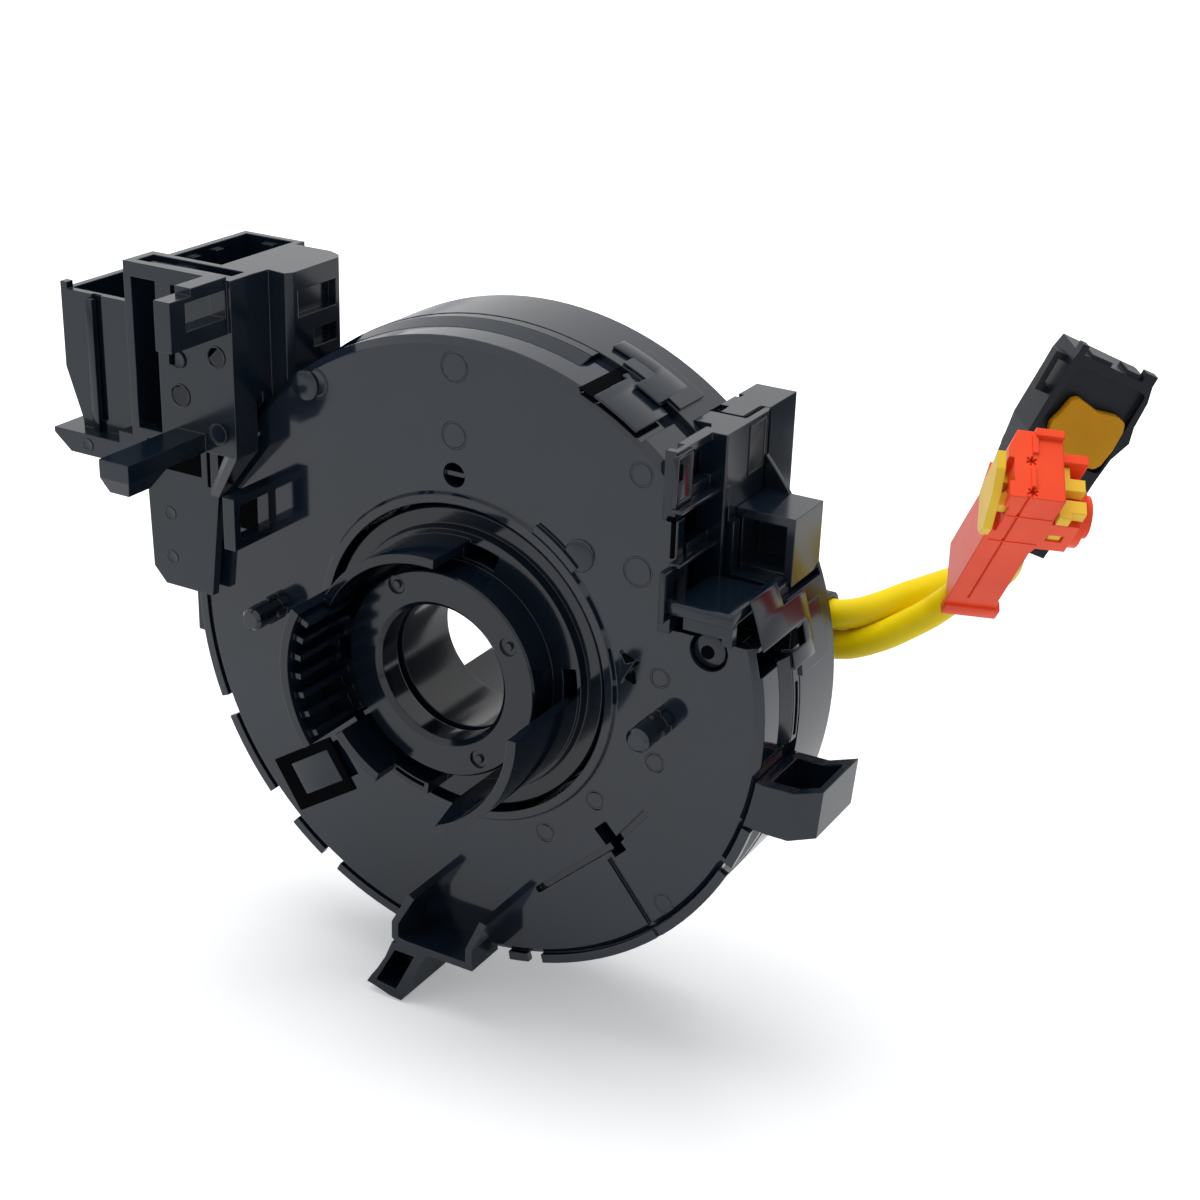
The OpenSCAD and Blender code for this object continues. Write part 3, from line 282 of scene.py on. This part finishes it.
# Column face. The same black plastic with a polished surface, which mirrors the pins and clips
# that stand on it.
polished = plastic("polished_plastic", (0.0055, 0.0105, 0.02), (0.004, 0.0085, 0.016), 0.045,
                   grain=0.012, specular=0.6)
dress(nodes["column_cover"], polished)

# Cancel cam and hub. The same black plastic. Its walls outside the bore are given less
# reflection than its front, which is painted shade that darkens the walls.
hub = plastic("hub_plastic", (0.004, 0.0075, 0.014), (0.003, 0.006, 0.0115), 0.07, grain=0.012)
bore_edge_r = 14
wall_start_r = 15
front_specular = 0.5
wall_shade_specular = 0.13
hub_nodes = hub.node_tree.nodes
hub_place = hub_nodes["Texture Coordinate"]
across = hub_nodes.new("ShaderNodeVectorMath")
across.operation = "MULTIPLY"
across.inputs[1].default_value = (1, 0, 1)
radius = hub_nodes.new("ShaderNodeVectorMath")
radius.operation = "LENGTH"
outside = hub_nodes.new("ShaderNodeMapRange")
outside.inputs["From Min"].default_value = bore_edge_r * mm
outside.inputs["From Max"].default_value = wall_start_r * mm
normal = hub_nodes.new("ShaderNodeSeparateXYZ")
facing = hub_nodes.new("ShaderNodeMath")
facing.operation = "ABSOLUTE"
turned = hub_nodes.new("ShaderNodeMapRange")
turned.inputs["From Min"].default_value = 0.9
turned.inputs["From Max"].default_value = 0.3
outer_wall = hub_nodes.new("ShaderNodeMath")
outer_wall.operation = "MULTIPLY"
reflection = hub_nodes.new("ShaderNodeMapRange")
reflection.inputs["To Min"].default_value = front_specular
reflection.inputs["To Max"].default_value = wall_shade_specular
hub_link = hub.node_tree.links.new
hub_link(hub_place.outputs["Object"], across.inputs[0])
hub_link(across.outputs["Vector"], radius.inputs[0])
hub_link(radius.outputs["Value"], outside.inputs["Value"])
hub_link(hub_place.outputs["Normal"], normal.inputs[0])
hub_link(normal.outputs["Y"], facing.inputs[0])
hub_link(facing.outputs["Value"], turned.inputs["Value"])
hub_link(outside.outputs["Result"], outer_wall.inputs[0])
hub_link(turned.outputs["Result"], outer_wall.inputs[1])
hub_link(outer_wall.outputs["Value"], reflection.inputs["Value"])
hub_link(reflection.outputs["Result"], hub_nodes["Principled BSDF"].inputs["Specular IOR Level"])
dress(nodes["cancel_cam"], hub)

# Contact pins. Square brass pins that stand in the floors of the main socket, the side socket
# and the switch socket.
brass = plastic("contact_brass", (0.7, 0.5, 0.2), (0.6, 0.42, 0.16), 0.22, grain=0.03, edge=0.1)
brass.node_tree.nodes["Principled BSDF"].inputs["Metallic"].default_value = 1
for name in ("main_socket_pins", "side_socket_pins", "switch_socket_pins"):
    dress(nodes[name], brass)

# Ribbon room. Slippery film sheets, flat ribbon cable and a carrier with rollers of natural
# plastic, all closed in between the case and the rotor.
film = plastic("ribbon_film", (0.75, 0.72, 0.6), (0.7, 0.66, 0.52), 0.3)
natural = plastic("natural_plastic", (0.7, 0.7, 0.66), (0.62, 0.62, 0.58), 0.4)
for name in ("case_glide_sheet", "rotor_glide_sheet", "outer_ribbon_coil", "inner_ribbon_coil",
             "ribbon_turn"):
    dress(nodes[name], film)
for name in ("carrier_ring", "guide_roller_1", "guide_roller_2", "guide_roller_3",
             "guide_roller_4"):
    dress(nodes[name], natural)

# Connectors and grommet. Coloured plastic shells with snap locks, and a rubber grommet that
# closes the outlet on the wheel side.
orange = plastic("orange_plastic", (0.96, 0.08, 0.018), (0.88, 0.058, 0.012), 0.28,
                 grain=0.04, edge=0.3, specular=0.25)
yellow = plastic("yellow_plastic", (0.93, 0.6, 0.045), (0.86, 0.52, 0.035), 0.32,
                 grain=0.04, specular=0.25)
mustard = plastic("mustard_plastic", (0.6, 0.29, 0.003), (0.52, 0.24, 0.002), 0.28,
                  grain=0.03, edge=0.3, specular=0.15)
rubber = plastic("grommet_rubber", (0.022, 0.026, 0.03), (0.016, 0.019, 0.022), 0.45,
                 grain=0.12, edge=0.4)
dress(nodes["orange_connector"], orange)
dress(nodes["orange_lock"], yellow)
dress(nodes["black_lock"], mustard)
dress(nodes["lead_grommet"], rubber)

# Latch between cover and case, at the top right of the rim. A flap runs over the rim and its
# tongue lies beside a raised pad. Here and below, thin near-black plates are painted shade that
# stands for the dark of gaps, seams and holes: most lie on a closed wall, a few over a gap or
# recess.
gap_shade = plastic("gap_shade", (0.002, 0.0022, 0.0026), (0.0012, 0.0013, 0.0016), 0.75,
                    specular=0.02)


def pick(keep):
    """In edit mode, selects the faces whose middle (in millimetres) and normal pass keep()."""
    bpy.ops.mesh.select_mode(type="FACE")
    mesh = bmesh.from_edit_mesh(bpy.context.object.data)
    for face in mesh.faces:
        face.select_set(bool(keep(face.calc_center_median() / mm, face.normal)))
    bmesh.update_edit_mesh(bpy.context.object.data)


def settle(name, body, material, edge=0.0):
    """Turns the active piece's faces outwards and rounds its edges, and gives it its name,
    looks and body."""
    piece = bpy.context.object
    bpy.ops.object.mode_set(mode="EDIT")
    bpy.ops.mesh.select_all(action="SELECT")
    bpy.ops.mesh.normals_make_consistent(inside=False)
    bpy.ops.object.mode_set(mode="OBJECT")
    if edge:
        soft = piece.modifiers.new("soft", "BEVEL")
        soft.width = edge * mm
        soft.segments = 2
        soft.limit_method = "ANGLE"
        soft.angle_limit = math.radians(40)
        bpy.ops.object.modifier_apply(modifier="soft")
    bpy.ops.object.shade_smooth_by_angle(angle=math.radians(35))
    piece.name = piece.data.name = name
    dress(piece, material)
    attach(piece, body)
    return piece


# Half a degree each
rim_sides = 720


def rim_sheet(radius, rows, keep, thick, front=None):
    """A sheet round the drum. It is cut along the rows (y) and keep(angle, y) says what stays.
    front is the radius of its front edge where it slopes."""
    bpy.ops.object.select_all(action="DESELECT")
    bpy.ops.mesh.primitive_cone_add(
        vertices=rim_sides, radius1=radius * mm, radius2=(front or radius) * mm,
        depth=(rows[-1] - rows[0]) * mm, end_fill_type="NOTHING",
        location=(0, (rows[0] + rows[-1]) / 2 * mm, 0), rotation=(math.pi / 2, 0, 0))
    bpy.ops.object.transform_apply(location=True, rotation=True, scale=True)
    bpy.ops.object.mode_set(mode="EDIT")
    for row in rows[1:-1]:
        bpy.ops.mesh.select_all(action="SELECT")
        bpy.ops.mesh.bisect(plane_co=(0, row * mm, 0), plane_no=(0, 1, 0))
    pick(lambda at, normal: not keep(math.degrees(math.atan2(at.z, at.x)), at.y))
    bpy.ops.mesh.delete(type="FACE")
    bpy.ops.object.mode_set(mode="OBJECT")
    wall = bpy.context.object.modifiers.new("wall", "SOLIDIFY")
    wall.thickness = thick * mm
    wall.offset = -1
    bpy.ops.object.modifier_apply(modifier="wall")


flap_r = 53.9
flap_end_y = 9.5
flap_rows = (-0.3, flap_end_y, 14)
pad_r = 54.68
pad_step_y = 14.6
pad_rows = (8.6, pad_step_y, 18)
# The gap beside the tongue is a thin dark sheet of painted shade
gap_shade_r = 53.3
gap_shade_rows = (-0.2, pad_step_y)


def flap(angle, y):
    """The flap in front and its narrower tongue behind."""
    return 56 < angle < 65 if y < flap_end_y else 63.5 < angle < 66


def pad(angle, y):
    """The pad's short front and its long back."""
    return 58 < angle < 63 if y < pad_step_y else 58 < angle < 71.5


rim_sheet(flap_r, flap_rows, flap, thick=0.5)
settle("latch_flap", "stator", graphite, edge=0.15)
rim_sheet(pad_r, pad_rows, pad, thick=0.7)
settle("latch_pad", "stator", graphite, edge=0.3)
rim_sheet(gap_shade_r, gap_shade_rows, lambda angle, y: 65 < angle < 68, thick=0.1)
settle("latch_gap_shade", "stator", gap_shade)

# Rim band. The cover swells to the case's width at the top, right and lower right, and a fine
# seam parts the two mouldings.
band_r = 53.9
band_thick = 0.3
band_rows = (9.35, 11.6)
swell_rows = (6.2, 9.1)
# Just outside the cover, which has a radius of 53 mm
swell_front_r = 53.02
# A thin dark sheet of painted shade stands for a narrow slot in the case at the right
rim_slot_shade_r = 54.0
rim_slot_shade_rows = (10.1, 10.7)


def free_rim(angle, y):
    """The stretches of the rim that swell."""
    return 72 < angle < 118 or -4 < angle < 11.5 or -75 < angle < -18


rim_sheet(band_r, swell_rows, free_rim, band_thick, front=swell_front_r)
settle("rim_swell", "stator", graphite)
rim_sheet(band_r, band_rows, free_rim, band_thick)
settle("rim_band", "stator", graphite)
rim_sheet(rim_slot_shade_r, rim_slot_shade_rows, lambda angle, y: -3 < angle < 6.5, thick=0.2)
settle("rim_slot_shade", "stator", gap_shade)

# Side slot. It is moulded through cover and case at the right, and a raised frame of the same
# black plastic runs round it.
slot_frame_r = 54.4
frame_step_y = 9.2
frame_back_y = 13.9
slot_frame_rows = (0.3, frame_step_y, frame_back_y, 16.6)


def slot_frame(angle, y):
    """The bar behind the slot, the wide one above it and the short one below it."""
    behind = 9 < angle < 20 and y > frame_back_y
    above = 15.6 < angle < (24 if y < frame_step_y else 20)
    below = 9 < angle < 11.8 and y > frame_step_y
    return behind or above or below


rim_sheet(slot_frame_r, slot_frame_rows, slot_frame, thick=0.3)
settle("side_slot_frame", "stator", graphite, edge=0.1)


# Switch bracket. Thin ribs and plates with sunk faces stand on its ladder, a rail runs along its
# shelf and a panel lies on the box behind it, all moulded of black plastic.
def block(low, high, turn=(0, 0, 0)):
    """A block between two corners in millimetres, turned about its middle."""
    low, high = Vector(low) * mm, Vector(high) * mm
    bpy.ops.object.select_all(action="DESELECT")
    bpy.ops.mesh.primitive_cube_add(size=1, location=(low + high) / 2, scale=high - low,
                                    rotation=[math.radians(a) for a in turn])
    bpy.ops.object.transform_apply(location=True, rotation=True, scale=True)
    return bpy.context.object


def recess(side, rim, depth):
    """Sinks the face of the active piece that looks to one side, and leaves a rim round it."""
    side = Vector(side)
    bpy.ops.object.mode_set(mode="EDIT")
    # Only faces that look straight to that side
    pick(lambda at, normal: normal.dot(side) > 0.99)
    bpy.ops.mesh.inset(thickness=rim * mm)
    bpy.ops.mesh.extrude_region_move(TRANSFORM_OT_translate={"value": -side * depth * mm})
    bpy.ops.object.mode_set(mode="OBJECT")


def group(name, body, material, pieces, edge=0.0):
    """Joins the pieces of one moulding and settles them."""
    bpy.ops.object.select_all(action="DESELECT")
    for piece in pieces:
        piece.select_set(True)
    bpy.context.view_layer.objects.active = pieces[0]
    if len(pieces) > 1:
        bpy.ops.object.join()
    return settle(name, body, material, edge)


to_right = (1, 0, 0)
to_front = (0, -1, 0)
# Each plate starts 0.2 mm inside the ladder's face
ladder_x = 37.3
upper_plate = ((ladder_x, -2.3, 34.8), (38.0, 3.0, 42.8))
lower_plate = ((ladder_x, -4.6, 17.4), (38.0, 2.8, 25.4))
upper_rib = ((ladder_x, -2.2, 34.0), (39.2, 10, 34.7))
lower_rib = ((ladder_x, -2.2, 25.6), (39.2, 10, 26.2))
back_rib = ((37.4, 9.7, 18.9), (40.05, 10.4, 43))
bracket_pieces = [block(*upper_plate)]
recess(to_right, rim=0.7, depth=0.35)
bracket_pieces.append(block(*lower_plate))
recess(to_right, rim=0.8, depth=0.35)
bracket_pieces += [block(*corners) for corners in (upper_rib, lower_rib, back_rib)]
group("bracket_plates", "stator", graphite, bracket_pieces, edge=0.12)
side_rail = ((47.1, -3.4, 18.9), (49, 14.3, 21.1))
front_rail = ((37.5, -3.7, 18.6), (48.8, -2.5, 20.9))
group("shelf_rail", "stator", graphite, [block(*side_rail), block(*front_rail)], edge=0.55)
# Thin dark plates of painted shade stand in the bracket's seams, slits and gaps
rear_side_seam_shade = ((39.8, 24.0, 28), (40.06, 24.55, 43.25))
rear_top_seam_shade = ((38.3, 18.6, 43.1), (38.75, 25, 43.26))
top_seam_shade = ((32.5, 18.4, 43.1), (38.6, 18.8, 43.26))
upper_plate_slit_shade = ((37.5, -0.8, 38.6), (37.75, 0.1, 41))
lower_plate_slit_shade = ((37.5, -0.9, 20.6), (37.75, -0.1, 23))
lower_box_seam_shade = ((40.2, 13.8, 21.9), (41.2, 14.05, 29))
ladder_slit_shade = ((37.2, -1.9, 26.8), (37.7, -1.2, 32.8))
ladder_slit_end_shade = ((36.4, -1.9, 32.5), (37.7, -1.2, 33.1))
group("bracket_seam_shades", "stator", gap_shade,
      [block(*corners) for corners in (
          rear_side_seam_shade, rear_top_seam_shade, top_seam_shade, upper_plate_slit_shade, lower_plate_slit_shade,
          lower_box_seam_shade, ladder_slit_shade, ladder_slit_end_shade)])
rear_panel = ((39.9, 17.2, 34.4), (40.12, 22.8, 42.6))
block(*rear_panel)
recess(to_right, rim=0.35, depth=0.12)
settle("bracket_panel", "stator", matt, edge=0.05)


# Socket housing. Its front panel and lower plate have round moulding marks, its side socket and
# its top have a rib each, and the lever bar ends in a sunk pad. All are moulded on.
def boss(at, radius, low, high, dish=0.0):
    """A round boss along Y between two heights, with a dished front."""
    bpy.ops.object.select_all(action="DESELECT")
    bpy.ops.mesh.primitive_cylinder_add(
        vertices=48, radius=radius * mm, depth=(high - low) * mm,
        location=(at[0] * mm, (low + high) / 2 * mm, at[1] * mm), rotation=(math.pi / 2, 0, 0))
    bpy.ops.object.transform_apply(location=True, rotation=True, scale=True)
    if dish:
        recess(to_front, rim=0.25, depth=dish)
    return bpy.context.object


# Just inside the faces of the front panel and of the lower plate
panel_y = -6.9
plate_y = -2.9
side_socket_rib = ((-71.6, -5.0, 25.3), (-70.2, -3.9, 48.9))
top_rib = ((-57.3, -5.6, 56.4), (-40, -3.9, 57.2))
lever_end = ((-51.4, -24.8, 26.6), (-46.2, -20.5, 28.3))
# Middle (x, z), radius, front, back and depth of the dish
large_mark = ((-50.3, 36.7), 2.0, -7.2, panel_y, 0.2)
upper_mark = ((-42.6, 44.5), 1.85, -7.2, panel_y, 0.2)
lower_mark = ((-42.4, 31.8), 1.8, -7.7, panel_y, 0.3)
small_mark = ((-50.4, 42.7), 1.5, -7.4, panel_y, 0.3)
socket_mark = ((-71.2, 24.0), 1.2, -7.15, panel_y, 0.1)
high_plate_mark = ((-57.4, 13.4), 1.3, -3.1, plate_y, 0.08)
low_plate_mark = ((-57.4, 5.4), 1.3, -3.1, plate_y, 0.08)
housing_pieces = [boss(*mark) for mark in (large_mark, upper_mark, lower_mark, small_mark)]
housing_pieces += [block(*side_socket_rib), block(*top_rib)]
housing_pieces += [boss(*mark) for mark in (socket_mark, high_plate_mark, low_plate_mark)]
housing_pieces.append(block(*lever_end))
recess(to_front, rim=0.6, depth=1.5)
group("housing_marks", "stator", graphite, housing_pieces, edge=0.1)
# Thin dark plates of painted shade stand for a hole, a slot and a slit
panel_hole_shade = ((-51.3, -7.06, 53.4), (-50.1, -6.8, 54.9))
plate_slot_shade = ((-57.6, -3.1, 21.4), (-50.2, -2.9, 25.6))
mark_slit_shade = ((-51.9, -7.5, 41.8), (-51.2, -6.9, 43.9))
group("housing_hole_shades", "stator", gap_shade,
      [block(*corners) for corners in (panel_hole_shade, plate_slot_shade, mark_slit_shade)])


# Face details. A slanting pane at the lower left, a screw eye at the right and two raised discs,
# moulded on the cover. Dark plates make the pointer at the right, and painted shade in the frame
# round the pane, the bore of the eye and the hollow of the left loop clip.
def wedge(at, radius, low, high, turn):
    """A three-cornered mark along Y."""
    bpy.ops.object.select_all(action="DESELECT")
    bpy.ops.mesh.primitive_cylinder_add(
        vertices=3, radius=radius * mm, depth=(high - low) * mm,
        location=(at[0] * mm, (low + high) / 2 * mm, at[1] * mm),
        rotation=(math.pi / 2, math.radians(turn), 0))
    bpy.ops.object.transform_apply(location=True, rotation=True, scale=True)
    return bpy.context.object


# The cover's face is at y = 0
proud_y = -0.45
sunk_y = 0.2
slant = (0, -33, 0)
pane = ((-34.4, proud_y, -32.2), (-25.2, sunk_y, -26.2), slant)
screw_eye = ((43.2, 12.2), 2.7, 1.0, 1.6)
right_disc = ((20.9, 22.7), 2.5, proud_y, sunk_y)
upper_disc = ((-30.3, 40.4), 2.5, proud_y, sunk_y)
face_pieces = [block(*pane)] + [boss(*round_one) for round_one in (
    screw_eye, right_disc, upper_disc)]
group("face_details", "stator", graphite, face_pieces, edge=0.15)
# Painted shade in the eye's bore, round the pane and in the clip's hollow; wedges for the pointer
eye_bore_shade = ((42.9, 11.9), 1.1, 0.9, 1.2)
pointer_tip = ((30.2, 7.2), 1.7, -0.4, 0.1, 200)
pointer_foot = ((30.6, 4.9), 1.2, -0.4, 0.1, 140)
pane_frame_shade = ((-37.4, -0.3, -34.9), (-23.4, 0.1, -24.9), slant)
clip_hollow_shade = ((-45.2, -0.2, 12.8), (-40.6, 0.05, 19.6))
group("face_shades", "stator", gap_shade,
      [boss(*eye_bore_shade), wedge(*pointer_tip), wedge(*pointer_foot), block(*pane_frame_shade),
       block(*clip_hollow_shade)])


# Connector details. The orange shell has a foot flange and two faint steps moulded in its front,
# and yellow lock pieces show in its nose window and in the black shell's loop.
def shell_place(at, turn):
    """A connector's own place, from its origin in millimetres and its turn in degrees."""
    turned_by = Euler([math.radians(a) for a in turn]).to_matrix().to_4x4()
    return Matrix.Translation(Vector(at) * mm) @ turned_by


orange_place = shell_place((69.66, 40.64, 11.85), (38.55, 6.21, 31.64))
black_place = shell_place((63.87, 74.14, 9.6), (4.58, 22.89, 37.2))
foot_flange = ((-4.1, -0.5, -3.3), (4.9, 1.5, -0.4))
# The upper step starts clear of the lock when that is pressed in
upper_step = ((-2.8, -0.12, 27.6), (4.4, 0.2, 27.9))
lower_step = ((-3.4, -0.12, 20.3), (4.2, 0.2, 20.6))
window_lock = ((5.2, 0.3, 22.0), (7.2, 1.0, 23.3))
loop_lock = ((-7.1, 2.2, 28.4), (-6.3, 3.6, 31.0))
for name, material, slot, place, shapes, edge in (
        ("orange_foot", orange, "orange_plastic", orange_place, (foot_flange,), 0.3),
        ("orange_steps", orange, "orange_plastic", orange_place, (upper_step, lower_step), 0.05),
        ("orange_window_lock", yellow, "yellow_plastic", orange_place, (window_lock,), 0.1),
        ("black_loop_lock", yellow, "yellow_plastic", black_place, (loop_lock,), 0.1)):
    bits = [block(*corners) for corners in shapes]
    for bit in bits:
        bit.data.transform(place)
    group(name, "rotor", material, bits, edge)
